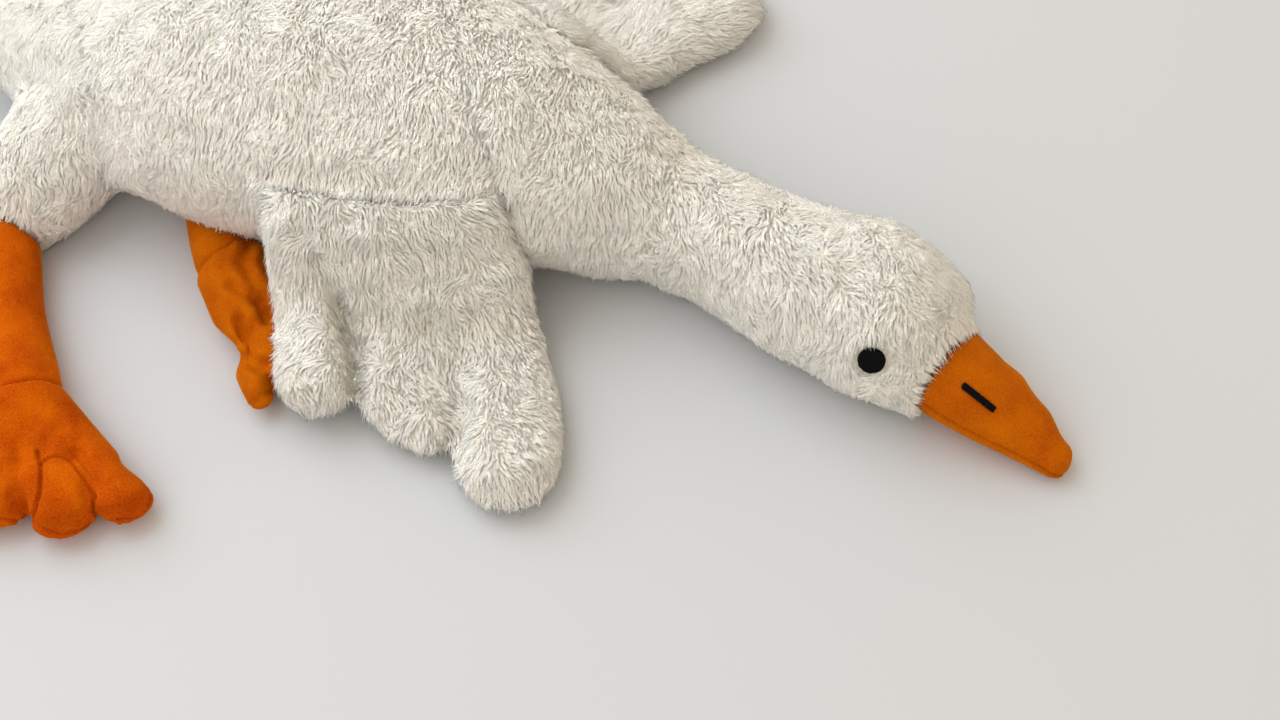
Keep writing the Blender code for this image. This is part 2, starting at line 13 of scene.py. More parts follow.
import bmesh
import bpy
from mathutils import Matrix, Vector, noise
from mathutils.bvhtree import BVHTree
from mathutils.geometry import intersect_point_line

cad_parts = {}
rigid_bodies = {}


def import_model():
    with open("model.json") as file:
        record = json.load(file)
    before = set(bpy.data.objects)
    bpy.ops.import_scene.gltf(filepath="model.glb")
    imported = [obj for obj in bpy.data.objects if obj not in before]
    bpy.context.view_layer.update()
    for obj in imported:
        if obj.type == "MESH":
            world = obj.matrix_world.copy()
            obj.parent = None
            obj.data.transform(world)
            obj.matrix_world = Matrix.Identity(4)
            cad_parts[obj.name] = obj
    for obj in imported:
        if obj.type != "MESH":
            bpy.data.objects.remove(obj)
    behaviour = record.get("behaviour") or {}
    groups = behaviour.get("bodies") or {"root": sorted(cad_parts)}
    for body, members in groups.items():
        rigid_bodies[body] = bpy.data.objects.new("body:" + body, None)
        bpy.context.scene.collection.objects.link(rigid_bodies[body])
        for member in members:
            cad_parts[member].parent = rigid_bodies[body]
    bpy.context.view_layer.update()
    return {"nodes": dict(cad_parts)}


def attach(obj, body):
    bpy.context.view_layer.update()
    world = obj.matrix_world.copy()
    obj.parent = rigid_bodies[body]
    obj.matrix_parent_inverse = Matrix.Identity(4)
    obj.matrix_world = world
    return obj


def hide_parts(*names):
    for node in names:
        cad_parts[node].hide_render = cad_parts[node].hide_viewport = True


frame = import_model()
nodes = frame["nodes"]
print("nodes:", sorted(nodes))

# %% [markdown]
# ## The camera
#
# The photo looks down on the goose from 60 degrees above the ground, a little from its front. The
# same camera also says which pixel of the photo a point of the goose shows at, so stitches
# and folds can be placed by what the photo shows.

# %% Camera at the photo's angle
PHOTO_SIZE = (1280, 720)
LOOK_AT = Vector((0.0754, -0.0231, 0))
ELEVATION = math.radians(60)
AZIMUTH = math.radians(16)
DISTANCE = 0.853
LENS = 60
SENSOR = 36

camera = bpy.data.objects.new("camera", bpy.data.cameras.new("camera"))
camera.data.lens = LENS
camera.data.sensor_width = SENSOR
towards = Vector((0, -math.cos(ELEVATION), math.sin(ELEVATION)))
turn = Matrix.Rotation(AZIMUTH, 3, "Z")
camera.location = LOOK_AT + turn @ towards * DISTANCE
camera_turn = turn @ Matrix.Rotation(math.pi / 2 - ELEVATION, 3, "X")
camera.rotation_euler = camera_turn.to_euler()
bpy.context.scene.collection.objects.link(camera)
bpy.context.scene.camera = camera


def photo_pixel(place):
    """The pixel of the photo, across and down, that shows a point."""
    seen = camera_turn.inverted() @ (place - camera.location)
    wide, high = PHOTO_SIZE
    scale = LENS / SENSOR * wide / -seen.z
    return Vector((wide / 2 + seen.x * scale, high / 2 - seen.y * scale, 0))


print("camera:", [round(value, 3) for value in camera.location])

# %% [markdown]
# ## The table and the light
#
# The photo is lit softly from behind the goose and from its tail, so that the near side of the body is
# the darker one and soft shadows lie under it. A large area light does that, a weaker one stands for
# the rest of the room, and a warm world fills the shadows.

# %% Table and lights
TABLE_COLOUR = (0.635, 0.65, 0.68)
TABLE_ROUGHNESS = 0.75
TABLE_HALF = 4
TABLE_DROP = 0.0003
LAMP_COLOUR = (0.80, 0.905, 1.0)
WORLD_COLOUR = (1.0, 0.885, 0.72)
WORLD_STRENGTH = 0.77
bpy.context.scene.view_settings.view_transform = "Standard"


def plain_material(name, colour, roughness):
    material = bpy.data.materials.new(name)
    material.use_nodes = True
    shader = material.node_tree.nodes["Principled BSDF"]
    shader.inputs["Base Color"].default_value = (*colour, 1)
    shader.inputs["Roughness"].default_value = roughness
    return material


def link_object(name, mesh):
    made = bpy.data.objects.new(name, mesh)
    bpy.context.scene.collection.objects.link(made)
    return made


bm = bmesh.new()
bmesh.ops.create_grid(bm, x_segments=1, y_segments=1, size=TABLE_HALF)
bmesh.ops.translate(bm, verts=bm.verts, vec=(0, 0, -TABLE_DROP))
table_mesh = bpy.data.meshes.new("table")
bm.to_mesh(table_mesh)
bm.free()
table_top = link_object("table", table_mesh)
table_top.data.materials.append(plain_material("table", TABLE_COLOUR, TABLE_ROUGHNESS))


def area_light(name, place, size, watts, colour):
    """A square lamp aimed at the goose. Its place is right, away and up, as the camera sees them."""
    lamp = bpy.data.lights.new(name, "AREA")
    lamp.size = size
    lamp.energy = watts
    lamp.color = colour
    made = bpy.data.objects.new(name, lamp)
    made.location = LOOK_AT + turn @ Vector(place)
    made.rotation_euler = (made.location - LOOK_AT).to_track_quat("Z", "Y").to_euler()
    bpy.context.scene.collection.objects.link(made)


area_light("window", (-1.05, 0.75, 1.35), size=1.8, watts=22, colour=LAMP_COLOUR)
area_light("room", (-0.9, -0.9, 1.0), size=1.6, watts=5, colour=LAMP_COLOUR)
world = bpy.data.worlds.new("soft light")
world.use_nodes = True
background = world.node_tree.nodes["Background"]
background.inputs["Color"].default_value = (*WORLD_COLOUR, 1)
background.inputs["Strength"].default_value = WORLD_STRENGTH
bpy.context.scene.world = world

# %% [markdown]
# ## Even skins
#
# A stuffed skin has no sharp edges, so each copy of a solid is merged, remeshed into even squares and
# relaxed. The even squares carry the facts that the pile needs: which way it is combed, how long
# it is and how dense it is.


# %% Copies of the solids as even skins
def even_skin(name, solids, square, relax):
    """A closed skin of even squares with the shape of one or more solids."""
    bm = bmesh.new()
    for solid in solids:
        bm.from_mesh(nodes[solid].data)
    bmesh.ops.remove_doubles(bm, verts=bm.verts, dist=1e-5)
    mesh = bpy.data.meshes.new(name + "_solid")
    bm.to_mesh(mesh)
    bm.free()
    rough = link_object(name + "_solid", mesh)
    remesh = rough.modifiers.new("squares", "REMESH")
    remesh.mode = "VOXEL"
    remesh.voxel_size = square
    smooth = rough.modifiers.new("relax", "SMOOTH")
    smooth.factor = 0.5
    smooth.iterations = relax
    graph = bpy.context.evaluated_depsgraph_get()
    skin = bpy.data.meshes.new_from_object(rough.evaluated_get(graph))
    bpy.data.objects.remove(rough)
    skin.name = name
    skin.shade_smooth()
    made = link_object(name, skin)
    print(name, "has", len(skin.polygons), "squares")
    return made


def finish_piece(piece, material, solids):
    """The piece gets its material, moves with the goose and hides the solids it replaces."""
    piece.data.materials.clear()
    piece.data.materials.append(material)
    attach(piece, "root")
    if solids:
        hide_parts(*solids)


def centre_of(node):
    places = [vert.co for vert in nodes[node].data.vertices]
    return sum(places, Vector()) / len(places)


def ramp(low, high, value):
    """From 0 at low to 1 at high, with a soft start and stop."""
    share = min(max((value - low) / (high - low), 0), 1)
    return share * share * (3 - 2 * share)


# %% [markdown]
# ## Stitches and folds
#
# Thread pulls two panels together, so a stitched line is a narrow groove between two soft ridges, and
# a fold is the same thing but wider. Each line is given in pixels of the photo, and the skin
# is pressed in where the camera sees that line.


# %% Pressing lines into a skin
THIN_LINE = 2
THIN_REACH = 3.5
RIDGE_HEIGHT = 0.45
RIDGE_PLACE = 2.2


def move_points(skin, moves):
    for vert, move in zip(skin.data.vertices, moves):
        vert.co += move
    skin.data.update()


def pixel_gap(line, pixel):
    """How many pixels a pixel is away from a line."""
    gaps = []
    for start, end in zip(line, line[1:]):
        start, end = Vector((*start, 0)), Vector((*end, 0))
        share = intersect_point_line(pixel, start, end)[1]
        gaps.append((start.lerp(end, min(max(share, 0), 1)) - pixel).length)
    return min(gaps)


def refine(skin, chosen):
    """Cuts the squares of a skin finer, twice, at the points that chosen(place) picks."""
    bm = bmesh.new()
    bm.from_mesh(skin.data)
    for _ in range(2):
        picked = {vert for vert in bm.verts if chosen(vert.co)}
        edges = [edge for edge in bm.edges if edge.verts[0] in picked or edge.verts[1] in picked]
        bmesh.ops.subdivide_edges(bm, edges=edges, cuts=1, use_grid_fill=True)
    bm.to_mesh(skin.data)
    bm.free()


def press_lines(skin, lines):
    """Presses lines into a skin. Each has its pixels, its depth in metres and its width in pixels."""
    thin = [line for line, _, width in lines if width < THIN_LINE]
    refine(skin, lambda place: any(pixel_gap(line, photo_pixel(place)) < THIN_REACH for line in thin))
    moves = []
    for vert in skin.data.vertices:
        facing = vert.normal.dot((camera.location - vert.co).normalized())
        pixel = photo_pixel(vert.co)
        move = 0
        for line, depth, width in lines:
            gap = pixel_gap(line, pixel) / width
            ridge = RIDGE_HEIGHT * math.exp(-((gap - RIDGE_PLACE) ** 2))
            move -= depth * (math.exp(-gap * gap) - ridge)
        moves.append(vert.normal * move * ramp(0.05, 0.35, facing))
    move_points(skin, moves)


def nudge(skin, pixel, radius, across, up):
    """Moves what shows round a pixel: to the right and upwards in the picture, in metres."""
    spot = Vector((*pixel, 0))
    step = camera_turn @ Vector((across, up, 0))
    for vert in skin.data.vertices:
        share = ramp(radius, 0, (photo_pixel(vert.co) - spot).length)
        vert.co += step * share
        vert.co.z = max(vert.co.z, 0)
    skin.data.update()


# %% [markdown]
# ## One lock of hair
#
# Pile plush is made of fine threads that stick together in pointed locks about a millimetre wide.
# To model each thread would take millions of faces, so one lock is a small bent spike: a cone with
# three sides, cut once across so that it can bend. Three kinds bend left, straight on and right.

# %% Three kinds of lock
LOCK_CUT = 0.45
LOCK_RISE = 0.34
LOCK_CURL = 0.20
LOCK_FLAT = 0.45

lock_box = bpy.data.collections.new("locks")


def write_fact(mesh, name, values):
    """Writes a number, or a direction as three numbers, for each point of a mesh."""
    arrow = len(values) == 3 * len(mesh.vertices)
    fact = mesh.attributes.new(name, "FLOAT_VECTOR" if arrow else "FLOAT", "POINT")
    fact.data.foreach_set("vector" if arrow else "value", values)


def make_lock(name, curl):
    """A spike one unit long and wide. Its root is at the origin and its tip leans towards +Y."""
    bm = bmesh.new()
    upright = Matrix.Translation((0, 0, 0.5))
    bmesh.ops.create_cone(
        bm, cap_ends=True, segments=3, radius1=0.5, radius2=0, depth=1, matrix=upright
    )
    everything = [*bm.verts, *bm.edges, *bm.faces]
    bmesh.ops.bisect_plane(bm, geom=everything, plane_co=(0, 0, LOCK_CUT), plane_no=(0, 0, 1))
    mesh = bpy.data.meshes.new(name)
    bm.to_mesh(mesh)
    bm.free()
    write_fact(mesh, "along", [vert.co.z for vert in mesh.vertices])
    write_fact(mesh, "across", [vert.co.x for vert in mesh.vertices])
    for vert in mesh.vertices:
        share = vert.co.z
        swell = 1 + 0.9 * share * (1 - share)
        vert.co.x = vert.co.x * swell + curl * share * share
        vert.co.y = vert.co.y * LOCK_FLAT + 0.25 * share + 0.65 * share * share
        vert.co.z = LOCK_RISE * share * (1.6 - 0.6 * share)
    mesh.shade_smooth()
    made = bpy.data.objects.new(name, mesh)
    lock_box.objects.link(made)
    return made


for word, curl in (("left", -LOCK_CURL), ("straight", 0), ("right", LOCK_CURL)):
    lock = make_lock("lock_" + word, curl)
print("a lock has", sum(len(face.vertices) - 2 for face in lock.data.polygons), "triangles")

# %% [markdown]
# ## Planting the pile
#
# Geometry Nodes plants the locks: it scatters points over a skin, turns a lock on each so that it
# stands on the skin and leans the way the skin is combed, and makes one plain mesh of all of them.
# A slow noise in the combing lets neighbouring locks lean together, which makes the
# clumps and small partings of real plush.
#
# A lock's colour comes from a UV map in which every lock lies in the same narrow strip: one
# direction says how creamy the lock is, from its own random tone and from painted shade in valleys and
# between clumps, and the other runs from its root to its tip.


# %% The node group that plants locks
CLUMP_SIZE = 0.007
CLUMP_LENGTHS = (0.9, 0.55)
LENGTH_RANGE = (0.75, 1.2)
WIDTH_RANGE = (0.75, 1.3)
WOBBLES = ((-0.15, 0.20), (-0.3, 0.3), (-0.32, 0.32))
SHADE_SHARE = 0.5
CLUMP_SHADE_SHARE = 0.7
CREAM_CHANCE = 0.25
CREAM_START = 0.2
STRIP_WIDTH = 0.03
TABLE_GAP = 0.0006
SKIN_SHARE = 0.97


class Wiring:
    """A node tree with short calls to add nodes and to join them."""

    def __init__(self, tree):
        self.tree = tree

    def add(self, kind, values=(), **settings):
        """A new node. values is pairs of a socket's name or number and its number or link."""
        node = self.tree.nodes.new(kind)
        for key, value in settings.items():
            setattr(node, key, value)
        for key, value in values:
            socket = self.open_socket(node.inputs, key)
            if isinstance(value, bpy.types.NodeSocket):
                self.tree.links.new(value, socket)
            else:
                socket.default_value = value
        return node

    def open_socket(self, sockets, key):
        """The socket in use with that name, where several share it."""
        if isinstance(key, int):
            return sockets[key]
        return [socket for socket in sockets if socket.name == key and socket.enabled][0]

    def attribute(self, name, kind):
        node = self.add("GeometryNodeInputNamedAttribute", [("Name", name)], data_type=kind)
        return self.open_socket(node.outputs, "Attribute")

    def chance(self, low, high, seed):
        """A random number for each point."""
        values = [("Min", low), ("Max", high), ("Seed", seed)]
        node = self.add("FunctionNodeRandomValue", values, data_type="FLOAT")
        return self.open_socket(node.outputs, "Value")

    def reckon(self, kind, *values):
        """What a Math node of that kind makes of numbers or links."""
        node = self.add("ShaderNodeMath", list(enumerate(values)), operation=kind)
        return node.outputs[0]


def planting(name, spacing, length, width, clump_pull, seed, part=0):
    """The node group for the locks on one part of a skin. Lengths are in metres."""
    tree = bpy.data.node_groups.new(name, "GeometryNodeTree")
    tree.interface.new_socket("Skin", in_out="INPUT", socket_type="NodeSocketGeometry")
    tree.interface.new_socket("Pile", in_out="OUTPUT", socket_type="NodeSocketGeometry")
    wires = Wiring(tree)
    skin = wires.add("NodeGroupInput").outputs[0]
    chosen = wires.add(
        "FunctionNodeCompare",
        [("A", wires.attribute("part", "INT")), ("B", part)],
        data_type="INT",
        operation="EQUAL",
    )
    scatter = wires.add(
        "GeometryNodeDistributePointsOnFaces",
        [
            ("Mesh", skin),
            ("Selection", chosen.outputs[0]),
            ("Distance Min", spacing),
            ("Density Max", 1 / spacing**2),
            ("Density Factor", wires.attribute("cover", "FLOAT")),
            ("Seed", seed),
        ],
        distribute_method="POISSON",
    )
    place = wires.add("GeometryNodeInputPosition").outputs[0]
    swirl = wires.add(
        "ShaderNodeTexNoise",
        [("Vector", place), ("Scale", 1 / CLUMP_SIZE), ("Detail", 1.0)],
    )
    centred = wires.add(
        "ShaderNodeVectorMath",
        [(0, swirl.outputs["Color"]), (1, (0.5, 0.5, 0.5))],
        operation="SUBTRACT",
    )
    pulled = wires.add(
        "ShaderNodeVectorMath", [(0, centred.outputs[0]), ("Scale", clump_pull)], operation="SCALE"
    )
    combed = wires.add(
        "ShaderNodeVectorMath",
        [(0, wires.attribute("comb", "FLOAT_VECTOR")), (1, pulled.outputs[0])],
        operation="ADD",
    )
    standing = wires.add(
        "FunctionNodeAlignRotationToVector", [("Vector", scatter.outputs["Normal"])], axis="Z"
    )
    leaning = wires.add(
        "FunctionNodeAlignRotationToVector",
        [("Rotation", standing.outputs[0]), ("Vector", combed.outputs[0])],
        axis="Y",
        pivot_axis="Z",
    )
    wobble = wires.add(
        "ShaderNodeCombineXYZ",
        [(axis, wires.chance(*limits, axis + 1)) for axis, limits in enumerate(WOBBLES)],
    )
    wobble = wires.add("FunctionNodeEulerToRotation", [(0, wobble.outputs[0])])
    wobbled = wires.add(
        "FunctionNodeRotateRotation",
        [("Rotation", leaning.outputs[0]), ("Rotate By", wobble.outputs[0])],
        rotation_space="LOCAL",
    )
    clump = wires.reckon("MULTIPLY_ADD", swirl.outputs[0], *CLUMP_LENGTHS)
    reach = wires.chance(LENGTH_RANGE[0] * length, LENGTH_RANGE[1] * length, 4)
    reach = wires.reckon("MULTIPLY", reach, clump)
    reach = wires.reckon("MULTIPLY", reach, wires.attribute("pile", "FLOAT"))
    thick = wires.chance(WIDTH_RANGE[0] * width, WIDTH_RANGE[1] * width, 5)
    size = wires.add("ShaderNodeCombineXYZ", [(0, thick), (1, reach), (2, reach)])
    box = wires.add(
        "GeometryNodeCollectionInfo", [("Separate Children", True), ("Reset Children", True)]
    )
    box.inputs["Collection"].default_value = lock_box
    kind = wires.add("FunctionNodeRandomValue", data_type="INT")
    wires.open_socket(kind.inputs, "Max").default_value = 2
    planted = wires.add(
        "GeometryNodeInstanceOnPoints",
        [
            ("Points", scatter.outputs["Points"]),
            ("Instance", box.outputs[0]),
            ("Pick Instance", True),
            ("Instance Index", wires.open_socket(kind.outputs, "Value")),
            ("Rotation", wobbled.outputs[0]),
            ("Scale", size.outputs[0]),
        ],
    )
    cream_and_shade = wires.chance(0.0, CREAM_CHANCE, 6)
    # Painted shade: locks in the skin's valleys are made creamier.
    cream_and_shade = wires.reckon("MULTIPLY_ADD", wires.attribute("shade", "FLOAT"), SHADE_SHARE, cream_and_shade)
    # Painted shade: where the clump noise is low, the locks are shorter and lie in the hollows between
    # clumps, and they are made creamier.
    cream_and_shade = wires.reckon("MULTIPLY_ADD", swirl.outputs[0], CLUMP_SHADE_SHARE, cream_and_shade)
    cream_and_shade = wires.reckon("SUBTRACT", cream_and_shade, CREAM_START)
    toned = wires.add(
        "GeometryNodeStoreNamedAttribute",
        [("Geometry", planted.outputs[0]), ("Name", "tone"), ("Value", cream_and_shade)],
        data_type="FLOAT",
        domain="INSTANCE",
    )
    facing = wires.add(
        "GeometryNodeStoreNamedAttribute",
        [("Geometry", toned.outputs[0]), ("Name", "skin_normal"), ("Value", scatter.outputs["Normal"])],
        data_type="FLOAT_VECTOR",
        domain="INSTANCE",
    )
    plain = wires.add("GeometryNodeRealizeInstances", [("Geometry", facing.outputs[0])])
    tone = wires.attribute("tone", "FLOAT")
    strip = wires.reckon("MULTIPLY_ADD", wires.attribute("across", "FLOAT"), STRIP_WIDTH, tone)
    spot = wires.add("ShaderNodeCombineXYZ", [(0, strip), (1, wires.attribute("along", "FLOAT"))])
    mapped = wires.add(
        "GeometryNodeStoreNamedAttribute",
        [("Geometry", plain.outputs[0]), ("Name", "OFBake"), ("Value", spot.outputs[0])],
        data_type="FLOAT2",
        domain="CORNER",
    )
    apart = wires.add("ShaderNodeSeparateXYZ", [(0, place)])
    height = wires.reckon("MAXIMUM", apart.outputs[2], TABLE_GAP)
    above = wires.add(
        "ShaderNodeCombineXYZ", [(0, apart.outputs[0]), (1, apart.outputs[1]), (2, height)]
    )
    lifted = wires.add(
        "GeometryNodeSetPosition", [("Geometry", mapped.outputs[0]), ("Position", above.outputs[0])]
    )
    own = wires.add("ShaderNodeVectorMath", operation="SCALE")
    own.inputs["Scale"].default_value = 1 - SKIN_SHARE
    tree.links.new(wires.add("GeometryNodeInputNormal").outputs[0], own.inputs[0])
    skins = wires.add(
        "ShaderNodeVectorMath",
        [(0, wires.attribute("skin_normal", "FLOAT_VECTOR")), ("Scale", SKIN_SHARE)],
        operation="SCALE",
    )
    shading = wires.add(
        "ShaderNodeVectorMath", [(0, own.outputs[0]), (1, skins.outputs[0])], operation="ADD"
    )
    soft = wires.add(
        "GeometryNodeSetMeshNormal", [("Mesh", lifted.outputs[0])], mode="FREE", domain="POINT"
    )
    tree.links.new(shading.outputs[0], wires.open_socket(soft.inputs, "Custom Normal"))
    wires.add("NodeGroupOutput", [(0, soft.outputs[0])])
    return tree


def plant(name, skin, coat, material):
    """The locks of one coat on a skin, as a piece of its own."""
    copy = link_object(name + "_roots", skin.data.copy())
    copy.modifiers.new("plant", "NODES").node_group = coat
    graph = bpy.context.evaluated_depsgraph_get()
    pile = bpy.data.meshes.new_from_object(copy.evaluated_get(graph))
    bpy.data.objects.remove(copy)
    pile.name = name
    for extra in ("along", "across", "tone", "skin_normal"):
        if extra in pile.attributes:
            pile.attributes.remove(pile.attributes[extra])
    made = link_object(name, pile)
    finish_piece(made, material, [])
    print(name, "has", len(pile.polygons), "faces", [item.name for item in pile.uv_layers])


# %% [markdown]
# ## The colour of the plush
#
# The plush is off-white. The light caught between the locks is painted in as shade, so a lock runs from
# a warmer, creamier root, which is painted shade, to a white tip, and some locks are a little creamier
# than others. The cloth under the pile has the warm colour of the roots: its own beige, warmed as
# painted shade where it shows in the crevices.

# %% Plush materials
ROOT_PAINTED_SHADE = (0.825, 0.80, 0.74)
CREAM_AND_SHADE_TIP = (0.79, 0.77, 0.72)
WHITE_TIP = (0.815, 0.805, 0.78)


def two_tone():
    """Shared by every cloth: two colours mixed by patches and a fine grain, and the grain's height."""
    tree = bpy.data.node_groups.new("two_tone", "ShaderNodeTree")
    for name, kind in (("Dark", "Color"), ("Light", "Color"), ("Patches", "Float"), ("Grain", "Float")):
        tree.interface.new_socket(name, in_out="INPUT", socket_type="NodeSocket" + kind)
    tree.interface.new_socket("Color", in_out="OUTPUT", socket_type="NodeSocketColor")
    tree.interface.new_socket("Height", in_out="OUTPUT", socket_type="NodeSocketFloat")
    wires = Wiring(tree)
    given = wires.add("NodeGroupInput").outputs
    place = wires.add("ShaderNodeTexCoord").outputs["Object"]
    patches = wires.add(
        "ShaderNodeTexNoise", [("Vector", place), ("Scale", given["Patches"]), ("Detail", 3)]
    )
    grain = wires.add(
        "ShaderNodeTexNoise", [("Vector", place), ("Scale", given["Grain"]), ("Detail", 2)]
    )
    slow = wires.reckon("MULTIPLY", patches.outputs[0], 0.6)
    mixed = wires.reckon("MULTIPLY_ADD", grain.outputs[0], 0.5, slow)
    light = wires.add("ShaderNodeMapRange", [("Value", mixed), ("From Min", 0.38), ("From Max", 0.72)])
    colour = wires.add(
        "ShaderNodeMix",
        [("Factor", light.outputs[0]), ("A", given["Dark"]), ("B", given["Light"])],
        data_type="RGBA",
    )
    result = wires.open_socket(colour.outputs, "Result")
    wires.add("NodeGroupOutput", [("Color", result), ("Height", grain.outputs[0])])
    return tree


def cloth_material(name, dark, light, patches, grain):
    """A dull cloth of two tones with a fine bump."""
    material = bpy.data.materials.new(name)
    material.use_nodes = True
    wires = Wiring(material.node_tree)
    shader = material.node_tree.nodes["Principled BSDF"]
    tones = wires.add("ShaderNodeGroup", node_tree=TWO_TONE)
    tones.inputs["Dark"].default_value = (*dark, 1)
    tones.inputs["Light"].default_value = (*light, 1)
    tones.inputs["Patches"].default_value = patches
    tones.inputs["Grain"].default_value = grain
    height = tones.outputs["Height"]
    bump = wires.add("ShaderNodeBump", [("Height", height), ("Strength", 0.6), ("Distance", 0.0004)])
    material.node_tree.links.new(tones.outputs["Color"], shader.inputs["Base Color"])
    material.node_tree.links.new(bump.outputs[0], shader.inputs["Normal"])
    shader.inputs["Roughness"].default_value = 0.95
    shader.inputs["Specular IOR Level"].default_value = 0.05
    return material


TWO_TONE = two_tone()


def pile_material():
    material = bpy.data.materials.new("white_pile")
    material.use_nodes = True
    wires = Wiring(material.node_tree)
    shader = material.node_tree.nodes["Principled BSDF"]
    spot = wires.add("ShaderNodeUVMap", uv_map="OFBake")
    apart = wires.add("ShaderNodeSeparateXYZ", [(0, spot.outputs[0])])
    # Locks with a low tone get the creamier tip: partly their own random tone, partly painted shade.
    tip = wires.add(
        "ShaderNodeMix",
        [("Factor", apart.outputs[0]), ("A", (*CREAM_AND_SHADE_TIP, 1)), ("B", (*WHITE_TIP, 1))],
        data_type="RGBA",
    )
    # Painted shade: each lock runs from a warmer root colour, which stands for the light caught between
    # locks, to its tip.
    rising = wires.add("ShaderNodeMapRange", [("Value", apart.outputs[1]), ("From Max", 0.75)])
    colour = wires.add(
        "ShaderNodeMix",
        [
            ("Factor", rising.outputs[0]),
            ("A", (*ROOT_PAINTED_SHADE, 1)),
            ("B", wires.open_socket(tip.outputs, "Result")),
        ],
        data_type="RGBA",
    )
    result = wires.open_socket(colour.outputs, "Result")
    material.node_tree.links.new(result, shader.inputs["Base Color"])
    shader.inputs["Roughness"].default_value = 0.85
    shader.inputs["Specular IOR Level"].default_value = 0.05
    shader.subsurface_method = "BURLEY"
    shader.inputs["Subsurface Weight"].default_value = 0.9
    shader.inputs["Subsurface Radius"].default_value = (1.0, 0.95, 0.88)
    shader.inputs["Subsurface Scale"].default_value = 0.0022
    return material


white_pile = pile_material()
# The cloth under the pile has its own colour, warmed to beige as painted shade for the crevices where
# it shows.
plush_cloth_painted_shade = cloth_material("plush_cloth_painted_shade", (0.80, 0.75, 0.65), (0.84, 0.80, 0.72), 160, 1200)


# %% [markdown]
# ## Combing the skins
#
# A skin's combing is a direction at each point. Hair hangs down the sides of the body towards the
# camera, fans out along the wings to the tips of the feathers, and swirls over the head. Valleys
# between feathers get painted shade, with creamier locks than on the ridges, and a relaxed copy of the
# skin finds them:
# where the copy lies outside the skin, the skin is hollow. The swirls start from a fixed seed, so that
# every run combs the goose the same way.

# %% Facts for the pile on a skin
SWIRL_SEED = 3
noise.seed_set(SWIRL_SEED)
VALLEY_ROUNDS = 30
VALLEY_DEPTH = 0.0012
PUFF_MOST = 0.0015
ABOVE_TABLE = (0.001, 0.006)
DRAW_IN = 0.0012
LUMP_HEIGHT = 0.0022
LUMP_SIZE = 0.024
REACH = 0.008


def relaxed_copy(skin):
    """A much smoothed copy of a skin. It lies outside the skin where that is hollow."""
    bm = bmesh.new()
    bm.from_mesh(skin.data)
    for _ in range(VALLEY_ROUNDS):
        bmesh.ops.smooth_vert(
            bm, verts=bm.verts, factor=0.5, use_axis_x=True, use_axis_y=True, use_axis_z=True
        )
    return bm


def valleys(skin):
    """For each point of a skin, how deep it lies in a valley, from 0 to 1."""
    bm = relaxed_copy(skin)
    depths = []
    for vert, own in zip(bm.verts, skin.data.vertices):
        depths.append(ramp(0, VALLEY_DEPTH, (vert.co - own.co).dot(own.normal)))
    bm.free()
    return depths


def puff_up(skin, amount):
    """Lifts the ridges of a skin and sinks its valleys, above the table only."""
    bm = relaxed_copy(skin)
    for vert, own in zip(bm.verts, skin.data.vertices):
        rise = (own.co - vert.co).dot(own.normal)
        rise = max(min(rise * amount, PUFF_MOST), -2 * PUFF_MOST)
        own.co += own.normal * rise * ramp(*ABOVE_TABLE, own.co.z)
    bm.free()
    skin.data.update()


def surface_tree(names):
    """Finds the nearest place on some of the solids."""
    bm = bmesh.new()
    for name in names:
        bm.from_mesh(nodes[name].data)
    tree = BVHTree.FromBMesh(bm)
    bm.free()
    return tree


def stuff(skin, neighbours):
    """Draws a skin in, so that its pile ends at the solid's surface, and makes its stuffing lumpy."""
    tree = surface_tree(neighbours)
    moves = []
    for vert in skin.data.vertices:
        free = ramp(*ABOVE_TABLE, vert.co.z) * ramp(0.001, REACH, tree.find_nearest(vert.co)[3])
        moves.append(vert.normal * free * (LUMP_HEIGHT * noise.noise(vert.co / LUMP_SIZE) - DRAW_IN))
    move_points(skin, moves)


def comb_skin(skin, combing, neighbours):
    """Writes the combing, the pile's length, its density and the painted shade of its valleys on a
    skin.
    """
    tree = surface_tree(neighbours)
    combs, covers, shades = [], [], []
    for vert, depth in zip(skin.data.vertices, valleys(skin)):
        normal = vert.normal
        lean = combing(vert.co, normal)
        combs.extend((lean - normal * lean.dot(normal)).normalized())
        # Painted shade: the deeper a point lies in a valley, the creamier its locks.
        shades.append(1 - 0.8 * depth)
        under = ramp(-0.55, -0.95, normal.z) * ramp(0.012, 0.004, vert.co.z)
        place, facing, _, gap = tree.find_nearest(vert.co)
        buried = 0
        if gap < REACH and (vert.co - place).dot(facing) < 0:
            buried = ramp(0.0010, 0.003, gap)
        elif gap < REACH and normal.dot(facing) < -0.5:
            buried = ramp(0.0026, 0.0012, gap)
        covers.append(max(1 - under - buried, 0))
    write_fact(skin.data, "comb", combs)
    write_fact(skin.data, "pile", [1] * len(covers))
    write_fact(skin.data, "cover", covers)
    write_fact(skin.data, "shade", shades)


# %% [markdown]
# ## The body, neck and head
#
# The pile hides the seams between the body, the neck and head, and the thighs, so one skin covers
# these solids. The pile looks combed towards the table on the side that the camera sees, and
# towards the legs on the thighs. On the neck and head it stands in clumps that turn this way and
# that. At the bill it lies over the bill's seam, and round the eyes it is trimmed short.
# One piece with all of this pile would have too many triangles. Its four pieces are the side that faces
# away, the thighs with the tail, the back and the front, which meet out of sight or in a crease.

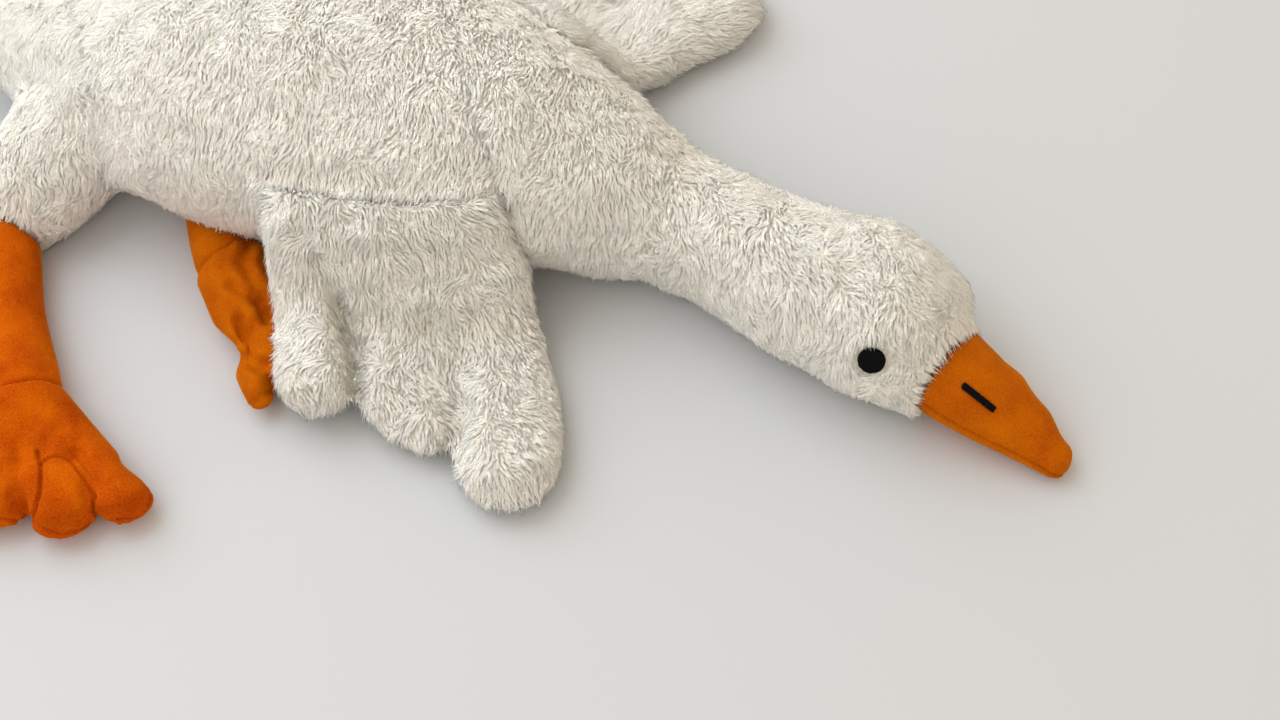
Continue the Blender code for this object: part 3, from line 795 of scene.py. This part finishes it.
# %% Body, neck and head
BODY_COMB = camera_turn @ Vector((-0.15, -1, 0))
HEAD_COMB = camera_turn @ Vector((0.35, -1, 0))
TO_CAMERA = camera_turn @ Vector((0, 0, 1))
NECK_SEAM = 0.0754
AWAY = -0.12
TAIL_CREASE = (75, 0.17)
BACK_CREASE = (440.5, 0.3)
SWIRL_SIZE = 0.011
BARE_ROUND_EYE = 0.0054
BODY_FOLDS = (
    (((505, 215), (492, 170), (478, 125)), 0.0020, 16),
    (((828, 231), (848, 238), (868, 243)), 0.0008, 4),
)

torso = ["body", "head_and_neck", "right_thigh", "left_thigh"]
body_skin = even_skin("body_skin", torso, square=0.0034, relax=5)
eye_centres = [centre_of("right_eye"), centre_of("left_eye")]
bill_centre = centre_of("bill_upper")
bill_way = (bill_centre - centre_of("head_and_neck")).normalized()
thigh_centres, leg_ways = {}, {}
for side in ("right", "left"):
    thigh_centres[side] = centre_of(side + "_thigh")
    leg_ways[side] = (centre_of(side + "_leg") - thigh_centres[side]).normalized()
print("eyes:", eye_centres, "bill:", bill_centre)


def comb_body(place, normal):
    """Down the picture on the side that shows, down to the table behind, and towards the bill."""
    on_head = ramp(NECK_SEAM - 0.02, NECK_SEAM + 0.02, place.x)
    near_bill = ramp(0.048, 0.030, (place - bill_centre).length)
    on_tail = ramp(-0.10, -0.16, place.x)
    lean = BODY_COMB.lerp(HEAD_COMB, on_head)
    lean = lean.lerp(Vector((0, 0, -1)), ramp(0.5, 0.1, normal.dot(TO_CAMERA)))
    swirl = noise.noise_vector(place / SWIRL_SIZE) * (1.1 + 0.9 * on_head + 0.6 * on_tail)
    for side in ("right", "left"):
        on_thigh = ramp(0.040, 0.025, (place - thigh_centres[side]).length)
        lean = lean.lerp(leg_ways[side] + Vector((0, 0, -0.4)), on_thigh)
    return lean + swirl + bill_way * 3 * near_bill


def behind_crease(face, crease):
    """Whether the photo shows a face on the tail's side of a slanting line."""
    pixel = photo_pixel(face.center)
    start, slant = crease
    return pixel.x < start + slant * pixel.y


def pile_part(face):
    """The number of the piece of pile that grows on a face of the skin."""
    if face.normal.dot(TO_CAMERA) < AWAY:
        return 0
    to_thigh = thigh_surface.find_nearest(face.center)[3]
    to_trunk = trunk_surface.find_nearest(face.center)[3]
    if to_thigh < to_trunk or behind_crease(face, TAIL_CREASE):
        return 1
    return 2 if behind_crease(face, BACK_CREASE) else 3


body_neighbours = [name for name in nodes if name not in torso]
stuff(body_skin, body_neighbours)
nudge(body_skin, (978, 318), radius=30, across=-0.0016, up=-0.0006)
press_lines(body_skin, BODY_FOLDS)
comb_skin(body_skin, comb_body, [name for name in body_neighbours if "eye" not in name])
pile = body_skin.data.attributes["pile"].data
cover = body_skin.data.attributes["cover"].data
bill_surface = surface_tree(["bill_upper", "bill_lower"])
wing_surface = surface_tree(["right_wing", "left_wing"])
thigh_surface = surface_tree(["right_thigh", "left_thigh"])
trunk_surface = surface_tree(["body", "head_and_neck"])
for vert in body_skin.data.vertices:
    gap = min((vert.co - eye).length for eye in eye_centres)
    to_bill = bill_surface.find_nearest(vert.co)[3]
    to_wing = wing_surface.find_nearest(vert.co)[3]
    longer = 0.15 * ramp(0.008, 0.002, to_bill) + 0.35 * ramp(0.010, 0.003, to_wing)
    pile[vert.index].value = (0.3 + 0.7 * ramp(0.0062, 0.010, gap)) * (1 + longer)
    if gap < BARE_ROUND_EYE:
        cover[vert.index].value = 0
finish_piece(body_skin, plush_cloth_painted_shade, torso)
parts = body_skin.data.attributes.new("part", "INT", "FACE")
parts.data.foreach_set("value", [pile_part(face) for face in body_skin.data.polygons])
for part in range(4):
    coat = planting(
        f"body_coat_{part}",
        spacing=0.00075,
        length=0.0056,
        width=0.00098,
        clump_pull=1.5,
        seed=part,
        part=part,
    )
    plant(f"body_pile_{part}", body_skin, coat, white_pile)


# %% [markdown]
# ## The wings
#
# Each wing is two layers of plush, sewn together round the edge and turned. Its pile is
# the longest, and the tufts at its edge make the outline ragged. The locks run from the wing's root to
# the feather tips.

# %% Wings
def comb_wing(side):
    """The combing of a wing fans out from a point inside the body."""
    wing = nodes[side + "_wing"].data
    tree = surface_tree(["body"])
    root = [vert.co for vert in wing.vertices if tree.find_nearest(vert.co)[3] < 0.004]
    root = sum(root, Vector()) / len(root)
    fan = root - (centre_of(side + "_wing") - root).normalized() * 0.06
    print(side, "wing root", root, "fan", fan)

    def combing(place, normal):
        swirl = noise.noise_vector(place / SWIRL_SIZE) * 1.5
        return (place - fan).normalized() + Vector((0, 0, -0.3)) + swirl

    return combing


WING_FOLDS = {
    "right": (
        (((300, 235), (335, 290), (352, 350), (358, 400)), 0.0034, 10),
        (((430, 325), (455, 350), (463, 400), (460, 455)), 0.0026, 12),
        (((320, 262), (380, 251), (440, 250), (490, 262)), 0.0012, 9),
    ),
    "left": (),
}
for side, seed in (("right", 7), ("left", 8)):
    wing_skin = even_skin(side + "_wing_skin", [side + "_wing"], square=0.0030, relax=3)
    puff_up(wing_skin, amount=0.9)
    stuff(wing_skin, ["body"])
    press_lines(wing_skin, WING_FOLDS[side])
    comb_skin(wing_skin, comb_wing(side), ["body"])
    finish_piece(wing_skin, plush_cloth_painted_shade, [side + "_wing"])
    coat = planting(
        side + "_wing_coat",
        spacing=0.00083,
        length=0.0062,
        width=0.00092,
        clump_pull=1.6,
        seed=seed,
    )
    plant(side + "_wing_pile", wing_skin, coat, white_pile)

# %% Put the lock patterns away
for lock in list(lock_box.objects):
    bpy.data.objects.remove(lock)
bpy.data.collections.remove(lock_box)

# %% [markdown]
# ## The velour pieces
#
# The bill, legs and feet are orange velour. Velour has a very short nap: where it is brushed one way
# it looks darker and redder, as the right leg and foot do, and light that grazes it makes a
# pale rim. A slow noise gives the brushed patches, a fine one the nap, and the shader's sheen the rim.

# %% Velour and thread
def velour_material(name, dark, light):
    material = cloth_material(name, dark, light, 60, 1500)
    shader = material.node_tree.nodes["Principled BSDF"]
    shader.inputs["Sheen Weight"].default_value = 0.6
    shader.inputs["Sheen Roughness"].default_value = 0.3
    shader.inputs["Sheen Tint"].default_value = (1.0, 0.45, 0.02, 1)
    return material


bill_velour = velour_material("orange_velour", (0.42, 0.070, 0.001), (0.62, 0.150, 0.001))
leg_velour = velour_material("orange_velour_brushed", (0.41, 0.044, 0.0008), (0.68, 0.132, 0.0008))
black_thread = cloth_material("black_thread", (0.003, 0.003, 0.003), (0.008, 0.008, 0.009), 900, 2600)

# %% [markdown]
# ## Legs and feet
#
# A leg is a thin stuffed tube, and a foot is two panels with three toes that a row of stitches keeps
# apart. The right foot lies flat. The left one is folded under the wing, so it is crumpled.

# %% Right leg and foot
RIGHT_LEG_LINES = (
    (((2, 374), (25, 368), (48, 371)), 0.0005, 3.5),
    (((6, 250), (30, 262)), 0.0004, 5),
)
RIGHT_FOOT_LINES = (
    (((37, 451), (41, 468), (40, 493), (32, 518)), 0.0013, 1.7),
    (((37, 451), (41, 468), (40, 493), (32, 518)), 0.0010, 6),
    (
        ((41, 463), (50, 458), (62, 458), (72, 461), (85, 478), (94, 496), (93, 511), (97, 518)),
        0.0012,
        1.7,
    ),
    (((72, 461), (85, 478), (94, 496)), 0.0008, 6),
    (
        ((-8, 517), (20, 520), (33, 521), (50, 531), (62, 535), (79, 531), (94, 523), (117, 521)),
        0.0010,
        1.6,
    ),
    (((117, 519), (137, 518), (147, 510), (151, 498)), 0.0009, 1.6),
    (((46, 452), (49, 438), (58, 428)), 0.0008, 6),
    (((79, 455), (82, 440)), 0.0006, 5),
    (((12, 497), (21, 505)), 0.0012, 8),
)
right_leg = even_skin("right_leg_skin", ["right_leg"], square=0.0015, relax=4)
press_lines(right_leg, RIGHT_LEG_LINES)
finish_piece(right_leg, leg_velour, ["right_leg"])
right_foot = even_skin("right_foot_skin", ["right_foot"], square=0.0012, relax=3)
nudge(right_foot, (136, 460), radius=22, across=-0.0035, up=0.0005)
press_lines(right_foot, RIGHT_FOOT_LINES)
finish_piece(right_foot, leg_velour, ["right_foot"])

# %% Left leg and foot
LEFT_FOOT_LINES = (
    (((250, 242), (242, 262), (250, 279), (262, 296), (267, 321)), 0.0022, 5),
    (((233, 285), (250, 294), (262, 312)), 0.0020, 5),
    (((240, 319), (243, 337), (254, 325), (271, 317)), 0.0018, 5),
    (((246, 360), (258, 367), (275, 360)), 0.0020, 5),
    (((256, 401), (271, 390)), 0.0010, 3),
)
left_leg = even_skin("left_leg_skin", ["left_leg"], square=0.0015, relax=4)
finish_piece(left_leg, bill_velour, ["left_leg"])
left_foot = even_skin("left_foot_skin", ["left_foot"], square=0.0013, relax=3)
nudge(left_foot, (222, 352), radius=32, across=0.0060, up=0)
press_lines(left_foot, LEFT_FOOT_LINES)
finish_piece(left_foot, bill_velour, ["left_foot"])

# %% [markdown]
# ## Bill, eyes and nostrils
#
# The bill's halves are stuffed as one, with the seam between them pressed in all round, a little above
# the line where the solids meet. The eyes and nostrils are patches of black satin stitch.

# %% Bill, eyes and nostrils
SEAM_RISE = 0.0011
SEAM_DEPTH = 0.0012
SEAM_WIDTH = 0.0007
STITCH_SINK = {"right_nostril": 0.0003, "left_nostril": 0.0007}
bill_halves = ["bill_upper", "bill_lower"]
bill_skin = even_skin("bill_skin", bill_halves, square=0.0012, relax=4)
above, below = surface_tree(["bill_upper"]), surface_tree(["bill_lower"])


def from_seam(place):
    """How far a place is above the bill's seam."""
    return below.find_nearest(place)[3] - above.find_nearest(place)[3] - SEAM_RISE


refine(bill_skin, lambda place: abs(from_seam(place)) < 2.5 * SEAM_WIDTH)
moves = []
for vert in bill_skin.data.vertices:
    pucker = 1 + 0.6 * noise.noise(vert.co / 0.0022)
    across = from_seam(vert.co) / SEAM_WIDTH
    roll = 0.4 * math.exp(-((across + 2) ** 2))
    moves.append(vert.normal * SEAM_DEPTH * pucker * (roll - math.exp(-across * across)))
move_points(bill_skin, moves)
nudge(bill_skin, (1022, 382), radius=30, across=0.0010, up=0.0016)
nudge(bill_skin, (1044, 413), radius=36, across=0.0022, up=0.0010)
nudge(bill_skin, (1066, 468), radius=26, across=-0.0007, up=-0.0006)
finish_piece(bill_skin, bill_velour, bill_halves)
for side in ("right", "left"):
    for mark in ("eye", "nostril"):
        stitched = even_skin(f"{side}_{mark}_stitched", [f"{side}_{mark}"], square=0.0006, relax=2)
        inwards = (bill_centre - centre_of(f"{side}_{mark}")).normalized()
        stitched.data.transform(Matrix.Translation(inwards * STITCH_SINK.get(f"{side}_{mark}", 0)))
        finish_piece(stitched, black_thread, [f"{side}_{mark}"])
